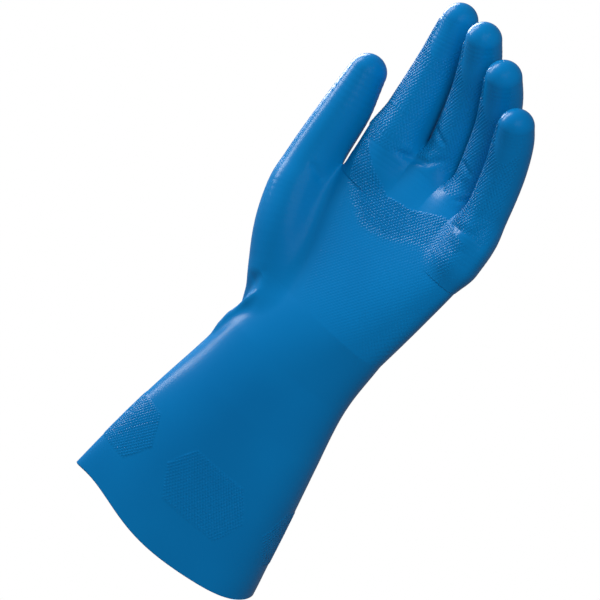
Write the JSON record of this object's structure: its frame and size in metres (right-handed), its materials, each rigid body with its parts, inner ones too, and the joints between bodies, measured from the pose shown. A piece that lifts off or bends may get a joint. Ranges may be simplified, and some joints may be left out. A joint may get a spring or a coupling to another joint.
{
  "type": "rubber household glove",
  "caption": "Flock-lined rubber household glove for the left hand, worn-hand shape, with long flared cuff and raised diamond grip on palm, fingers and cuff.",
  "frame": {"origin": "middle of the cuff mouth, in the plane of the cuff edge", "axes": "+Z along the glove from the cuff mouth to the fingertips, -Y out of the palm, -X towards the thumb side, +X towards the little finger side"},
  "size_m": [0.1273, 0.0716, 0.3056],
  "materials": {
    "latex": "satin",
    "flock": "matte"
  },
  "bodies": {
    "cuff": {"cuff": "latex", "cuff_lining": "flock", "wrist_crease": "latex"},
    "hand": {"hand": "latex", "hand_lining": "flock", "index_root_crease": "latex", "middle_root_crease": "latex", "ring_root_crease": "latex", "little_root_crease": "latex", "thumb_root_crease": "latex"},
    "index_base": {"index_base": "latex", "index_base_lining": "flock", "index_middle_crease": "latex"},
    "index_middle": {"index_middle": "latex", "index_middle_lining": "flock", "index_tip_crease": "latex"},
    "index_tip": {"index_tip": "latex", "index_tip_lining": "flock"},
    "middle_base": {"middle_base": "latex", "middle_base_lining": "flock", "middle_middle_crease": "latex"},
    "middle_middle": {"middle_middle": "latex", "middle_middle_lining": "flock", "middle_tip_crease": "latex"},
    "middle_tip": {"middle_tip": "latex", "middle_tip_lining": "flock"},
    "ring_base": {"ring_base": "latex", "ring_base_lining": "flock", "ring_middle_crease": "latex"},
    "ring_middle": {"ring_middle": "latex", "ring_middle_lining": "flock", "ring_tip_crease": "latex"},
    "ring_tip": {"ring_tip": "latex", "ring_tip_lining": "flock"},
    "little_base": {"little_base": "latex", "little_base_lining": "flock", "little_middle_crease": "latex"},
    "little_middle": {"little_middle": "latex", "little_middle_lining": "flock", "little_tip_crease": "latex"},
    "little_tip": {"little_tip": "latex", "little_tip_lining": "flock"},
    "thumb_base": {"thumb_base": "latex", "thumb_base_lining": "flock", "thumb_tip_crease": "latex"},
    "thumb_tip": {"thumb_tip": "latex", "thumb_tip_lining": "flock"}
  },
  "joints": [
    {"name": "wrist_bend", "type": "hinge", "parent": "cuff", "child": "hand", "pos_m": [0, 0, 0.118], "axis": [1, 0, 0], "range_deg": [-40, 40], "stiffness_Nm_per_rad": 0.3, "deforming": ["wrist_crease"]},
    {"name": "index_root_bend", "type": "hinge", "parent": "hand", "child": "index_base", "pos_m": [-0.0293, -0.00245, 0.24388], "axis": [0.9914, 0, 0.1305], "range_deg": [-15, 60], "stiffness_Nm_per_rad": 0.03, "deforming": ["index_root_crease"]},
    {"name": "index_middle_bend", "type": "hinge", "parent": "index_base", "child": "index_middle", "pos_m": [-0.03255, -0.00376, 0.26863], "axis": [0.9914, 0, 0.1305], "range_deg": [-5, 65], "stiffness_Nm_per_rad": 0.02, "deforming": ["index_middle_crease"]},
    {"name": "index_tip_bend", "type": "hinge", "parent": "index_middle", "child": "index_tip", "pos_m": [-0.03467, -0.00663, 0.28474], "axis": [0.9914, 0, 0.1305], "range_deg": [-5, 40], "stiffness_Nm_per_rad": 0.015, "deforming": ["index_tip_crease"]},
    {"name": "middle_root_bend", "type": "hinge", "parent": "hand", "child": "middle_base", "pos_m": [-0.00266, 0.00319, 0.24379], "axis": [0.9936, 0, 0.1132], "range_deg": [-15, 60], "stiffness_Nm_per_rad": 0.03, "deforming": ["middle_root_crease"]},
    {"name": "middle_middle_bend", "type": "hinge", "parent": "middle_base", "child": "middle_middle", "pos_m": [-0.00555, -0.0056, 0.26916], "axis": [0.9936, 0, 0.1132], "range_deg": [-5, 65], "stiffness_Nm_per_rad": 0.02, "deforming": ["middle_middle_crease"]},
    {"name": "middle_tip_bend", "type": "hinge", "parent": "middle_middle", "child": "middle_tip", "pos_m": [-0.00744, -0.01564, 0.28576], "axis": [0.9936, 0, 0.1132], "range_deg": [-5, 40], "stiffness_Nm_per_rad": 0.015, "deforming": ["middle_tip_crease"]},
    {"name": "ring_root_bend", "type": "hinge", "parent": "hand", "child": "ring_base", "pos_m": [0.02084, 0.00119, 0.23979], "axis": [0.9936, 0, 0.1132], "range_deg": [-15, 60], "stiffness_Nm_per_rad": 0.03, "deforming": ["ring_root_crease"]},
    {"name": "ring_middle_bend", "type": "hinge", "parent": "ring_base", "child": "ring_middle", "pos_m": [0.01813, -0.00753, 0.2636], "axis": [0.9936, 0, 0.1132], "range_deg": [-5, 65], "stiffness_Nm_per_rad": 0.02, "deforming": ["ring_middle_crease"]},
    {"name": "ring_tip_bend", "type": "hinge", "parent": "ring_middle", "child": "ring_tip", "pos_m": [0.01635, -0.01816, 0.27925], "axis": [0.9936, 0, 0.1132], "range_deg": [-5, 40], "stiffness_Nm_per_rad": 0.015, "deforming": ["ring_tip_crease"]},
    {"name": "little_root_bend", "type": "hinge", "parent": "hand", "child": "little_base", "pos_m": [0.04304, -0.01131, 0.23579], "axis": [0.9936, 0, 0.1132], "range_deg": [-15, 60], "stiffness_Nm_per_rad": 0.03, "deforming": ["little_root_crease"]},
    {"name": "little_middle_bend", "type": "hinge", "parent": "little_base", "child": "little_middle", "pos_m": [0.04099, -0.01686, 0.25384], "axis": [0.9936, 0, 0.1132], "range_deg": [-5, 65], "stiffness_Nm_per_rad": 0.02, "deforming": ["little_middle_crease"]},
    {"name": "little_tip_bend", "type": "hinge", "parent": "little_middle", "child": "little_tip", "pos_m": [0.03934, -0.02461, 0.26832], "axis": [0.9936, 0, 0.1132], "range_deg": [-5, 40], "stiffness_Nm_per_rad": 0.015, "deforming": ["little_tip_crease"]},
    {"name": "thumb_root_bend", "type": "hinge", "parent": "hand", "child": "thumb_base", "pos_m": [-0.057, -0.009, 0.204], "axis": [0.9952, 0, 0.0979], "range_deg": [-12, 40], "stiffness_Nm_per_rad": 0.04, "deforming": ["thumb_root_crease"]},
    {"name": "thumb_tip_bend", "type": "hinge", "parent": "thumb_base", "child": "thumb_tip", "pos_m": [-0.0584, -0.0095, 0.226], "axis": [0.6406, 0.7634, 0.0831], "range_deg": [-5, 50], "stiffness_Nm_per_rad": 0.02, "deforming": ["thumb_tip_crease"]}
  ]
}
